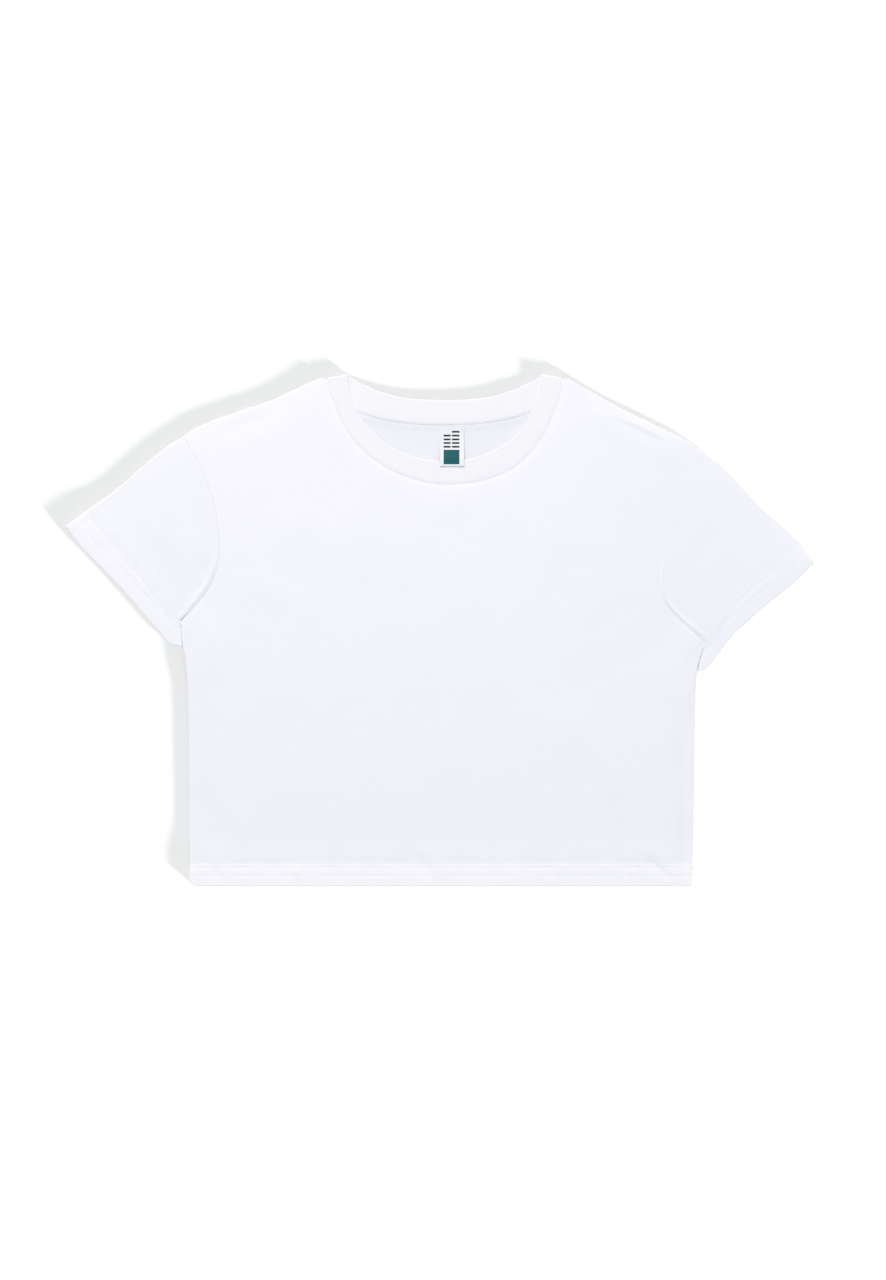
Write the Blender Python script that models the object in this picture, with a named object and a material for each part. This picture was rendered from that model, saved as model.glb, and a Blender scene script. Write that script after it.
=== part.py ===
"""A boxy cropped T-shirt laid flat on its back, front up.

Six cut pieces: back and front panels, two sleeves, a rib neckband and a woven neck label.
Sizes are millimetres in the tables and become metres where the meshes are made. +X runs to
the wearer's left, +Y to the neck and +Z up from the table. The origin is on the table under
the middle of the garment.
"""
import math
from collections import namedtuple

import bmesh
import bpy
from mathutils import Vector

MM = 0.001

# Cloth thicknesses and the air left where pieces meet.
CLOTH = 1.0
HEM_CLOTH = 1.5
BAND_CLOTH = 1.6
SEAM_GAP = 0.3
ARMHOLE_GAP = 0.45

# Turned-up hems, and the short ramp where the turned-up edge ends.
HEM_DEPTH = 22.0
CUFF_DEPTH = 24.0
HEM_STEP = 0.6

# Height of the top layer over the table, and how far the cloth lofts away from its edges.
EDGE_HEIGHT = 2 * CLOTH + SEAM_GAP
HEM_HEIGHT = 2 * HEM_CLOTH + SEAM_GAP
NECK_RISE = 0.7
NECK_REACH = 25.0
HEM_REACH = 30.0
LOFT = 1.2
LOFT_REACH = 25.0

# Each side's outlines as seen from above, as (x, y) points. Shoulder: armhole to neck, whose
# last point is the neckline's own. Armholes and side seam: downwards. Sleeve fold: outwards.
# Cuff: from the fold to the underarm seam.
Side = namedtuple("Side", "sign shoulder front_armhole back_armhole side_seam fold cuff")

RIGHT = Side(
    sign=-1,
    shoulder=((-256, 194), (-240, 204), (-200, 219), (-165, 231), (-140, 243), (-121, 251)),
    front_armhole=((-256, 194), (-242, 168), (-228, 135), (-221, 95), (-221, 68), (-232, 40),
                   (-259, 9)),
    back_armhole=((-256, 194), (-247, 168), (-237, 135), (-232, 95), (-234, 63), (-243, 34),
                  (-259, 9)),
    side_seam=((-259, 9), (-257, -14), (-253, -34), (-251.5, -80), (-250, -256)),
    fold=((-256, 194), (-280, 178), (-320, 143.5), (-360, 114), (-374, 104)),
    cuff=((-374, 104), (-360, 85), (-320, 43), (-280, -2), (-269, -14.5), (-262, -17)),
)
LEFT = Side(
    sign=1,
    shoulder=((265, 177), (245, 190), (215, 205), (180, 222), (150, 239), (130, 250)),
    front_armhole=((265, 177), (247, 146), (232, 108), (222, 72), (219, 46), (228, 22),
                   (265, -11)),
    back_armhole=((265, 177), (253, 146), (242, 108), (234, 72), (233, 46), (242, 20),
                  (265, -11)),
    side_seam=((265, -11), (257, -40), (255, -75), (254, -150), (252, -256)),
    fold=((265, 177), (283, 162.5), (321, 123), (361, 85), (374, 68)),
    cuff=((374, 68), (360, 53), (320, 20), (290, -8), (268, -37), (259.5, -41)),
)

# Neck lines. Each is a rounded curve that drops by its depth between two shoulder points;
# higher powers make it squarer. The band lies between a seam line and a free edge.
NECK_CENTRE = 4.5
NeckLine = namedtuple("NeckLine", "half_width top depth across_power drop_power")
FRONT_SEAM = NeckLine(half_width=117, top=251, depth=105.5, across_power=1.85, drop_power=1.85)
FRONT_EDGE = NeckLine(half_width=96, top=254.2, depth=85.7, across_power=1.95, drop_power=1.95)
BACK_SEAM = NeckLine(half_width=117, top=251, depth=46, across_power=2.17, drop_power=2.17)
BACK_EDGE = NeckLine(half_width=96, top=254.2, depth=24.2, across_power=2.6, drop_power=1.0)

# The band's mid height at the back, over the back band at the shoulders, and at front centre.
BACK_BAND_MID = BAND_CLOTH / 2
FOLDED_BAND_MID = 1.5 * BAND_CLOTH + SEAM_GAP
FRONT_BAND_MID = CLOTH + SEAM_GAP + BAND_CLOTH / 2
OVERLAP_ENDS = math.radians(27)
BAND_SETTLES = math.radians(57)

# The soft folds large enough to change the front's form: a ridge or trough along a line.
Fold = namedtuple("Fold", "x1 y1 x2 y2 half_width rise")
FOLDS = (
    Fold(x1=163, y1=217, x2=230, y2=186, half_width=16, rise=1.6),
    Fold(x1=226, y1=-100, x2=248, y2=-175, half_width=20, rise=0.8),
    Fold(x1=130, y1=-95, x2=165, y2=-160, half_width=20, rise=0.5),
    Fold(x1=208, y1=-228, x2=232, y2=-250, half_width=16, rise=0.6),
)

# The label: its sides, and the height of its underside from the seam down to its lower end.
LABEL_LEFT = 24.0
LABEL_RIGHT = 0.0
LABEL_RUN = ((204.4, 1.35), (190, 1.4), (179, 2.2), (170.5, 3.35), (163.6, 3.4))

# Mesh divisions.
SHOULDER_COLUMNS = 7
FRONT_NECK_COLUMNS = 18
BACK_NECK_COLUMNS = 14
SIDE_ROWS = 7
ARMHOLE_ROWS = 9
SLEEVE_ROWS = 4
CUFF_ROWS = 2
FOLD_SEGMENTS = 4
BAND_FOLD_SEGMENTS = 6
BAND_ROWS = 2
LABEL_COLUMNS = 2
LABEL_ROWS = 10
OUTLINE_STEPS = 8


# ---------------------------------------------------------------- lines and distances

def smooth_step(low, high, value):
    """0 below low, 1 above high and a soft S between them."""
    share = min(max((value - low) / (high - low), 0.0), 1.0)
    return share * share * (3 - 2 * share)


def line_length(points):
    """Length of the straight runs between the points."""
    return sum(math.dist(a, b) for a, b in zip(points, points[1:]))


def along(points, share):
    """The point at a share of the length of a smooth curve through the points."""
    points = [Vector(point) for point in points]
    runs = [(b - a).length for a, b in zip(points, points[1:])]
    left = min(max(share, 0.0), 1.0) * sum(runs)
    place = 0
    while place < len(runs) - 1 and left > runs[place]:
        left -= runs[place]
        place += 1
    start, end = points[place], points[place + 1]
    before = points[max(place - 1, 0)]
    after = points[min(place + 2, len(points) - 1)]
    run = runs[place]
    start_pull = (end - before) * (run / (run + runs[place - 1] if place else run))
    end_pull = (after - start) * (run / (run + runs[place + 1] if place + 1 < len(runs) else run))
    t = left / run
    return (start * (2 * t ** 3 - 3 * t ** 2 + 1) + start_pull * (t ** 3 - 2 * t ** 2 + t)
            + end * (3 * t ** 2 - 2 * t ** 3) + end_pull * (t ** 3 - t ** 2))


def sampled(points):
    """A smooth curve as short straight runs."""
    steps = OUTLINE_STEPS * (len(points) - 1)
    return [along(points, step / steps) for step in range(steps + 1)]


def distance(place, line):
    """How far a place is from a line of straight runs."""
    nearest = math.inf
    for start, end in zip(line, line[1:]):
        run = end - start
        share = min(max((place - start).dot(run) / run.length_squared, 0.0), 1.0)
        nearest = min(nearest, (place - start - run * share).length)
    return nearest


def neck_point(line, turn):
    """A point of a neck line; turn goes 0 to 1 from the wearer's right shoulder to the left."""
    angle = math.pi * (1 - turn)
    across = abs(math.cos(angle)) ** (2 / line.across_power)
    drop = abs(math.sin(angle)) ** (2 / line.drop_power)
    x = NECK_CENTRE + math.copysign(line.half_width * across, math.cos(angle))
    return Vector((x, line.top - line.depth * drop))


# ---------------------------------------------------------------- height of the top layer

NECK_RUN = [neck_point(FRONT_SEAM, step / 40) for step in range(41)]
HEM_RUN = [Vector(RIGHT.side_seam[-1]), Vector(LEFT.side_seam[-1])]
CUFF_RUNS = [sampled(side.cuff) for side in (RIGHT, LEFT)]
OUTLINE = [NECK_RUN, HEM_RUN, *CUFF_RUNS]
for edges in (RIGHT, LEFT):
    OUTLINE += [sampled(edges.side_seam), sampled(edges.fold), sampled(edges.shoulder)]


def top_height(place):
    """Height of the garment's upper face over the table."""
    inland = min(distance(place, line) for line in OUTLINE)
    hem = distance(place, HEM_RUN) - HEM_DEPTH
    cuff = min(distance(place, run) for run in CUFF_RUNS) - CUFF_DEPTH
    turned_up = 1 - smooth_step(0, HEM_REACH, min(hem, cuff))
    neck = math.exp(-(distance(place, NECK_RUN) / NECK_REACH) ** 2)
    lofted = 1 - math.exp(-inland / LOFT_REACH)
    height = EDGE_HEIGHT + (HEM_HEIGHT - EDGE_HEIGHT) * turned_up
    height += NECK_RISE * neck * (1 - turned_up) + LOFT * lofted
    for fold in FOLDS:
        line = [Vector((fold.x1, fold.y1)), Vector((fold.x2, fold.y2))]
        height += fold.rise * lofted * math.exp(-(distance(place, line) / fold.half_width) ** 2)
    return height


# ---------------------------------------------------------------- cloth from a grid

def cloth(name, columns, rows, outer, inner, closed=False):
    """A cloth wall: a grid laid on its outer face, then extruded to its inner face.

    outer and inner give a corner's place from its column and row.
    """
    sheet = bmesh.new()
    bmesh.ops.create_grid(sheet, x_segments=columns, y_segments=rows, size=0.5)
    column_of = sheet.verts.layers.int.new("column")
    row_of = sheet.verts.layers.int.new("row")
    for corner in sheet.verts:
        corner[column_of] = round((corner.co.x + 0.5) * columns)
        corner[row_of] = round((corner.co.y + 0.5) * rows)
        corner.co = Vector(outer(corner[column_of], corner[row_of])) * MM
    if closed:
        bmesh.ops.remove_doubles(sheet, verts=sheet.verts, dist=0.001 * MM)
    made = bmesh.ops.extrude_face_region(sheet, geom=sheet.faces[:], use_keep_orig=True)
    for corner in made["geom"]:
        if isinstance(corner, bmesh.types.BMVert):
            corner.co = Vector(inner(corner[column_of], corner[row_of])) * MM
    bmesh.ops.recalc_face_normals(sheet, faces=sheet.faces[:])
    mesh = bpy.data.meshes.new(name)
    sheet.to_mesh(mesh)
    sheet.free()
    mesh.shade_smooth()
    mesh.set_sharp_from_angle(angle=math.radians(40))
    return bpy.data.objects.new(name, mesh)


# ---------------------------------------------------------------- front and back panels

Panel = namedtuple("Panel", "name armholes neck_seam neck_edge neck_columns")
FRONT = Panel("front_panel", (RIGHT.front_armhole, LEFT.front_armhole), FRONT_SEAM, FRONT_EDGE,
              FRONT_NECK_COLUMNS)
BACK = Panel("back_panel", (RIGHT.back_armhole, LEFT.back_armhole), BACK_SEAM, BACK_EDGE,
             BACK_NECK_COLUMNS)
PANEL_ROWS = 2 + SIDE_ROWS + ARMHOLE_ROWS


def neck_cut(panel, turn):
    """The panel's cut edge at the neck, a gap outside the band's seam line."""
    seam = neck_point(panel.neck_seam, turn)
    return seam + (seam - neck_point(panel.neck_edge, turn)).normalized() * SEAM_GAP


def top_cut(panel, column):
    """The panel's upper outline: right shoulder, neck, left shoulder."""
    neck_share = (column - SHOULDER_COLUMNS) / panel.neck_columns
    if neck_share < 0:
        line = (*RIGHT.shoulder, neck_cut(panel, 0))
        return along(line, column / SHOULDER_COLUMNS)
    if neck_share > 1:
        line = (*LEFT.shoulder, neck_cut(panel, 1))
        last = panel.neck_columns + 2 * SHOULDER_COLUMNS
        return along(line, (last - column) / SHOULDER_COLUMNS)
    return neck_cut(panel, neck_share)


def side_point(side, row):
    """A point of the side seam. Rows rise from the hem, two of them at the hem's upper edge."""
    length = line_length(side.side_seam)
    if row <= 2:
        return along(side.side_seam, 1 - (0, HEM_DEPTH, HEM_DEPTH + HEM_STEP)[row] / length)
    top = 1 - (HEM_DEPTH + HEM_STEP) / length
    return along(side.side_seam, top * (1 - (row - 2) / SIDE_ROWS))


def panel_place(panel, column, row):
    """A panel's grid corner seen from above."""
    across = column / (panel.neck_columns + 2 * SHOULDER_COLUMNS)
    raised = (row - 2 - SIDE_ROWS) / ARMHOLE_ROWS
    if raised <= 0:
        return side_point(RIGHT, row).lerp(side_point(LEFT, row), across)
    pull = raised ** 1.5
    base = Vector(RIGHT.side_seam[0]).lerp(Vector(LEFT.side_seam[0]), across)
    place = base.lerp(top_cut(panel, column), pull)
    for armhole, weight in zip(panel.armholes, (1 - across, across)):
        straight = Vector(armhole[-1]).lerp(Vector(armhole[0]), pull)
        place += (along(armhole, 1 - raised) - straight) * weight
    return place


def make_panel(panel, upper, lower):
    """A panel whose faces stand at the heights that upper and lower give."""
    def face(height):
        def corner(column, row):
            place = panel_place(panel, column, row)
            return (*place, height(place, HEM_CLOTH if row <= 1 else CLOTH))
        return corner
    columns = panel.neck_columns + 2 * SHOULDER_COLUMNS
    return cloth(panel.name, columns, PANEL_ROWS, face(upper), face(lower))


# ---------------------------------------------------------------- sleeves

RING = 2 * (ARMHOLE_ROWS + FOLD_SEGMENTS)

# How strongly the rows of corners crowd to the cuff near the short underarm seam.
UNDERARM_EASE = 0.85
EASE_POWER = 0.6


def ring_place(station):
    """Share from the fold to the underarm, and the turn from the upper wall to the lower."""
    station %= RING
    if station <= ARMHOLE_ROWS:
        return station / ARMHOLE_ROWS, 0.0
    station -= ARMHOLE_ROWS
    if station < FOLD_SEGMENTS:
        return 1.0, math.pi * station / FOLD_SEGMENTS
    station -= FOLD_SEGMENTS
    if station <= ARMHOLE_ROWS:
        return 1 - station / ARMHOLE_ROWS, math.pi
    station -= ARMHOLE_ROWS
    return 0.0, math.pi * (1 - station / FOLD_SEGMENTS)


def sleeve_place(side, armhole, share, row):
    """A sleeve wall's grid corner seen from above, from armhole (row 0) to cuff."""
    step = Vector((side.sign * ARMHOLE_GAP, 0))
    head = along(armhole, share) + step
    cuff = along(side.cuff, share)
    underarm = Vector(side.side_seam[0]) + step
    fold_length = line_length(side.fold)
    fold_hem = along(side.fold, 1 - CUFF_DEPTH / fold_length)
    up_fold = (fold_hem - Vector(side.fold[-1])).normalized()
    up_underarm = (underarm - Vector(side.cuff[-1])).normalized()
    hem = cuff + up_fold.lerp(up_underarm, share).normalized() * CUFF_DEPTH
    if row > SLEEVE_ROWS:
        turned = max((row - SLEEVE_ROWS - 1) / CUFF_ROWS, HEM_STEP / CUFF_DEPTH)
        return hem.lerp(cuff, turned)
    reach = (row / SLEEVE_ROWS) ** (1 - UNDERARM_EASE * share ** EASE_POWER)
    fold_start = Vector(side.fold[0])
    bow = along(side.fold, reach * (1 - CUFF_DEPTH / fold_length))
    bow -= fold_start.lerp(fold_hem, reach)
    return head.lerp(hem, reach) + bow * (1 - share)


def edge_outward(side, share, row):
    """Which way the sleeve faces at its upper fold, along the ring, or at its underarm seam."""
    if share == 1:
        run = Vector(side.cuff[-1]) - Vector(side.side_seam[0])
        return Vector((-side.sign, side.sign * run.x / run.y)).normalized()
    faces = [sleeve_place(side, armhole, 0, row)
             - sleeve_place(side, armhole, 1 / ARMHOLE_ROWS, row)
             for armhole in (side.front_armhole, side.back_armhole)]
    return (faces[0].normalized() + faces[1].normalized()).normalized()


def sleeve_corner(side, station, row, inward):
    """A sleeve corner, its cloth thickness inward of the outer face."""
    share, turn = ring_place(station)
    front = sleeve_place(side, side.front_armhole, share, row)
    back = sleeve_place(side, side.back_armhole, share, row)
    if 0 < share < 1:
        upper = turn == 0
        place = front if upper else back
        return (*place, top_height(place) - inward if upper else inward)
    radius = top_height(front) / 2
    reach = (radius - inward) * math.sin(turn) - radius
    place = front + edge_outward(side, share, row) * reach
    return (*place, radius + (radius - inward) * math.cos(turn))


def make_sleeve(name, side):
    """A flattened tube, folded along its top, with a doubled cuff."""
    def outer(station, row):
        return sleeve_corner(side, station, row, 0)

    def inner(station, row):
        return sleeve_corner(side, station, row, HEM_CLOTH if row > SLEEVE_ROWS else CLOTH)
    return cloth(name, RING, SLEEVE_ROWS + 1 + CUFF_ROWS, outer, inner, closed=True)


# ---------------------------------------------------------------- neckband and label

BAND_RING = FRONT_NECK_COLUMNS + BACK_NECK_COLUMNS + 2 * BAND_FOLD_SEGMENTS


def band_place(station):
    """Which stretch of the band a station is in: its turn round the neck and its roll."""
    station %= BAND_RING
    if station <= FRONT_NECK_COLUMNS:
        return station / FRONT_NECK_COLUMNS, 0.0
    station -= FRONT_NECK_COLUMNS
    if station < BAND_FOLD_SEGMENTS:
        return 1.0, math.pi * station / BAND_FOLD_SEGMENTS
    station -= BAND_FOLD_SEGMENTS
    if station <= BACK_NECK_COLUMNS:
        return 1 - station / BACK_NECK_COLUMNS, math.pi
    station -= BACK_NECK_COLUMNS
    return 0.0, math.pi * (1 - station / BAND_FOLD_SEGMENTS)


def band_corner(station, row, outward):
    """A band corner, a distance outward of its mid surface; rows run from edge to seam."""
    turn, roll = band_place(station)
    seam_line, edge_line = (BACK_SEAM, BACK_EDGE) if roll == math.pi else (FRONT_SEAM, FRONT_EDGE)
    seam = neck_point(seam_line, turn)
    edge = neck_point(edge_line, turn)
    place = edge.lerp(seam, row / BAND_ROWS)
    if roll == 0:
        from_shoulder = math.pi * min(turn, 1 - turn)
        settled = smooth_step(OVERLAP_ENDS, BAND_SETTLES, from_shoulder)
        mid = FOLDED_BAND_MID + (FRONT_BAND_MID - FOLDED_BAND_MID) * settled
        return (*place, mid + outward)
    if roll == math.pi:
        return (*place, BACK_BAND_MID - outward)
    run = (edge - seam).normalized()
    facing = Vector((-run.y, run.x)) if run.x > 0 else Vector((run.y, -run.x))
    radius = (FOLDED_BAND_MID - BACK_BAND_MID) / 2
    place += facing * (radius + outward) * math.sin(roll)
    return (*place, BACK_BAND_MID + radius + (radius + outward) * math.cos(roll))


def make_neckband():
    """A rib ring folded double, lying flat and folded over at both shoulders."""
    def outer(station, row):
        return band_corner(station, row, BAND_CLOTH / 2)

    def inner(station, row):
        return band_corner(station, row, -BAND_CLOTH / 2)
    return cloth("neckband", BAND_RING, BAND_ROWS, outer, inner, closed=True)


def make_label():
    """A woven strip from the back neck seam, its lower end up on the front band's edge."""
    def face(lift):
        def corner(column, row):
            y, z = along(LABEL_RUN, row / LABEL_ROWS)
            across = column / LABEL_COLUMNS
            return (LABEL_RIGHT + (LABEL_LEFT - LABEL_RIGHT) * across, y, z + lift)
        return corner
    return cloth("neck_label", LABEL_COLUMNS, LABEL_ROWS, face(CLOTH), face(0))


# ---------------------------------------------------------------- the garment

def finish_with(piece, colour, roughness):
    """Give a piece its own cloth material."""
    material = bpy.data.materials.new(piece.name + "_cloth")
    material.use_nodes = True
    shader = material.node_tree.nodes["Principled BSDF"]
    shader.inputs["Base Color"].default_value = (*colour, 1)
    shader.inputs["Roughness"].default_value = roughness
    shader.inputs["Metallic"].default_value = 0
    piece.data.materials.append(material)


def main():
    """Empty the scene and build the six pieces in one collection."""
    for item in list(bpy.data.objects):
        bpy.data.objects.remove(item)
    white_jersey = (0.90, 0.91, 0.94)
    white_rib = (0.92, 0.93, 0.95)
    white_satin = (0.88, 0.90, 0.92)
    pieces = (
        (make_panel(BACK, lambda place, wall: wall, lambda place, wall: 0), white_jersey, 0.9),
        (make_panel(FRONT, lambda place, wall: top_height(place),
                    lambda place, wall: top_height(place) - wall), white_jersey, 0.9),
        (make_sleeve("right_sleeve", RIGHT), white_jersey, 0.9),
        (make_sleeve("left_sleeve", LEFT), white_jersey, 0.9),
        (make_neckband(), white_rib, 0.9),
        (make_label(), white_satin, 0.5),
    )
    garment = bpy.data.collections.new("crop_top")
    bpy.context.scene.collection.children.link(garment)
    for piece, colour, roughness in pieces:
        finish_with(piece, colour, roughness)
        garment.objects.link(piece)


main()
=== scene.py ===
"""The looks of a white, boxy crop top laid flat with its front up.

Cotton jersey panels and sleeves, a folded rib neckband, a woven loop label and the sewing
thread of the hems, as thin shells in the space of the frame's solids. Sizes are millimetres in
the tables and become metres where the meshes are made. +X runs to the wearer's left, +Y to the
neck and +Z up from the floor.
"""
import math
from collections import namedtuple

import bmesh
import bpy
import numpy as np
from mathutils import Matrix, Vector


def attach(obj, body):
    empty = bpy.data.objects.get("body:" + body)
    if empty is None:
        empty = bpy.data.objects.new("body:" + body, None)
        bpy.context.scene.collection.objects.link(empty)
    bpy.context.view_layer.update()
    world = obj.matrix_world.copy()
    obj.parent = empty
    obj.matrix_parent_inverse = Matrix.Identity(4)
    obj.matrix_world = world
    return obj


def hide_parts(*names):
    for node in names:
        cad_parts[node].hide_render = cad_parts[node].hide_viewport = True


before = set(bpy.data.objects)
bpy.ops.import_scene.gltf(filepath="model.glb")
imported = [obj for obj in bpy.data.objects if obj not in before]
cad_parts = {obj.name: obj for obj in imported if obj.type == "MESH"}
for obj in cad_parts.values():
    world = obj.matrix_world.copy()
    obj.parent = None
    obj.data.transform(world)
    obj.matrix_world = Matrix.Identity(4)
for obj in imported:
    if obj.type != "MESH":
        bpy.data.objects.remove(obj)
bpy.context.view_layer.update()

MM = 0.001

# Cloth thicknesses. A turned-up hem is two layers. The neckband's rib is folded double, with a
# hollow in it of this much to each side of its middle.
JERSEY = 0.7
HEM_CLOTH = 1.4
BAND_CLOTH = 1.4
BAND_INSIDE = 0.1

# Gaps between the pieces at the neck seam and at an armhole that lies open.
SEAM_GAP = 0.06
ARMHOLE_GAP = 0.08

# Turned-up hems: their depths, the step where the second layer ends, the rounding of the body's
# two lower corners, and the twin needle's two rows, up from the folded edge.
HEM_DEPTH = 22.0
CUFF_DEPTH = 24.0
HEM_STEP = 0.6
HEM_CORNERS = (7.0, 3.5)
HEM_STITCH_ROWS = (10.5, 19.0)
CUFF_STITCH_ROWS = (13.5, 21.5)

# Each row draws a channel this deep and wide. The gathers between the rows reach this far, and
# the cloth above the hem lies lower by the ledge, which fades upwards. A cuff has a share of it.
CHANNEL = 0.17
CHANNEL_HALF_WIDTH = 1.2
GATHER_REACH = 9.0
LEDGE = 0.26
LEDGE_FADE = 16.0
CUFF_SHARE = 0.75

# The neck seam's groove. The armhole's seam has a groove, a ridge on the sleeve and a dip on the
# body: each has a height over the shoulder and what it gains under the arm.
NECK_GROOVE = 0.19
NECK_GROOVE_HALF_WIDTH = 2.6
ARMHOLE_GROOVE = (0.05, 0.16)
ARMHOLE_RIDGE = (0.09, 0.76)
ARMHOLE_DIP = (0.03, 0.10)

# Under the arm begins and is full at these shares of the armhole's height. At its lower end the
# seam eases again.
UNDER_ARM = (0.45, 0.8)
EASES = (0.86, 1.0)
EASED = 0.65

# Seams and edges hold the creases flat over these distances, down to a share on the front. The
# underside takes these shares of the relief of its seams and of its hems.
FRONT_HOLD = 8.0
HELD_SHARE = 0.25
BACK_HOLD = 6.0
UNDER_SEAM = 0.45
UNDER_HEM = 0.6

# The panels' edges round off over this reach at a seam, the front's by more than the back's.
SEAM_ROUNDING = 1.8
FRONT_ROUNDING = 0.45
BACK_ROUNDING = 0.30

# Height of the top layer, and how far it lofts away from its edges, as in the solids.
EDGE_HEIGHT = 2.3
HEM_HEIGHT = 3.3
NECK_RISE = 0.7
NECK_REACH = 25.0
HEM_REACH = 30.0
LOFT = 1.2
LOFT_REACH = 25.0

# Each side's outlines as seen from above, as (x, y) points. Shoulder: armhole to neck. Armholes
# and side seam: downwards. Sleeve fold: outwards. Cuff: from the fold to the underarm seam.
# Ridge: the armhole's allowance bunched under the arm, as its distance from the seam and width.
# Seam shows: how open the armhole's seam lies. Backing: how far the second layer whitens the
# sleeve, as a share of a doubled hem, set below the front's and lower still on the wearer's left
# as painted shade.
Side = namedtuple("Side", "sign shoulder front_armhole back_armhole side_seam fold cuff ridge"
                  " seam_shows backing")

RIGHT = Side(
    sign=-1,
    shoulder=((-256, 194), (-240, 204), (-200, 219), (-165, 231), (-140, 243), (-121, 251)),
    front_armhole=((-256, 194), (-242, 168), (-228, 135), (-221, 95), (-221, 68), (-232, 40),
                   (-259, 9)),
    back_armhole=((-256, 194), (-247, 168), (-237, 135), (-232, 95), (-234, 63), (-243, 34),
                  (-259, 9)),
    side_seam=((-259, 9), (-257.3, -14), (-253.8, -34), (-251.5, -80), (-250, -256)),
    fold=((-256, 194), (-280, 178), (-320, 143.5), (-360, 114), (-374, 104)),
    cuff=((-374, 104), (-360, 85), (-320, 43), (-280, -2), (-269, -14), (-257.3, -16.5)),
    ridge=(4.2, 2.7),
    seam_shows=1.0,
    # Below the front's whitening: painted shade.
    backing=0.60,
)
LEFT = Side(
    sign=1,
    shoulder=((265, 177), (245, 190), (215, 205), (180, 222), (150, 239), (130, 250)),
    front_armhole=((265, 177), (247, 146), (232, 108), (222, 72), (219, 46), (228, 22),
                   (265, -11)),
    back_armhole=((265, 177), (253, 146), (242, 108), (234, 72), (233, 46), (242, 20),
                  (265, -11)),
    side_seam=((265, -11), (261.1, -25.2), (257, -40), (255, -75), (254, -150), (252, -256)),
    fold=((265, 177), (283, 162.5), (321, 123), (361, 85), (374, 68)),
    cuff=((374, 68), (360, 53), (320, 20), (290, -8), (268, -37), (257.2, -41)),
    ridge=(3.0, 1.9),
    seam_shows=0.2,
    # Lower again: more painted shade on the side farther from the key lamp.
    backing=0.50,
)
SIDES = (RIGHT, LEFT)
FRONT_ARMHOLES = [side.front_armhole for side in SIDES]
BACK_ARMHOLES = [side.back_armhole for side in SIDES]

# Neck lines: each drops by its depth between two shoulder points; higher powers are squarer.
# Swells push a line out, or in below 0, round a turn: turn, reach in turns and rise.
NECK_CENTRE = 4.5
NeckLine = namedtuple("NeckLine", "half_width top depth across_power drop_power swells")
FRONT_SEAM = NeckLine(117, 251, 105.5, 1.85, 1.85, ((0.70, 0.12, 6.0), (0.10, 0.06, -2.4)))
FRONT_EDGE = NeckLine(96, 254.2, 85.7, 1.95, 1.95, ((0.72, 0.12, 1.5),))
BACK_SEAM = NeckLine(117, 251, 46, 2.17, 2.17, ())
BACK_EDGE = NeckLine(96, 254.2, 24.2, 2.6, 1.0, ())

# The band's mid height: of its back stretch at the shoulders, and how much higher that is at the
# back's middle; of its front stretch where it lies folded over the back one, and at the front's
# middle. It changes between these angles round the neck.
BACK_BAND_MID = 0.75
BACK_BAND_LIFT = 0.5
FOLDED_BAND_MID = 2.2
FRONT_BAND_MID = 2.35
OVERLAP_ENDS = math.radians(27)
BAND_SETTLES = math.radians(57)

# The band's rib: a knit and a purl column to each pitch. It is a strip folded to this width. At
# the neck seam its face drops by the lip, over this reach.
RIB_PITCH = 1.6
RIB_HEIGHT = 0.16
FOLDED_WIDTH = 21.0
LIP = 0.48
LIP_REACH = 1.2

# The label: its sides, the y and height of its run from the seam down to its lower end, how far
# its middle is over that run, its cloth and the half height of its loop. Its sides curl up
# towards its lower end.
LABEL_LEFT = 24.0
LABEL_RIGHT = 0.0
LABEL_RUN = ((204.4, 1.2), (190, 1.0), (179, 1.75), (170.5, 3.1), (163.6, 3.14))
LABEL_MIDDLE = 0.5
LABEL_CLOTH = 0.3
LABEL_LOOP = 0.45
LABEL_CURL = 0.30
CURL_REACH = 41.0

# What is woven into it: short charcoal dashes in two columns, in rows down from the
# seam, with one more dash on top, and a teal block below. A dash is this high.
DASH = 1.8
DASH_COLUMNS = ((3.6, 10.6), (12.0, 19.4))
DASH_ROWS = (9.2, 13.0, 16.6, 20.4)
TOP_DASH = 5.4
TEAL_BLOCK = (24.3, 39.0)

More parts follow.
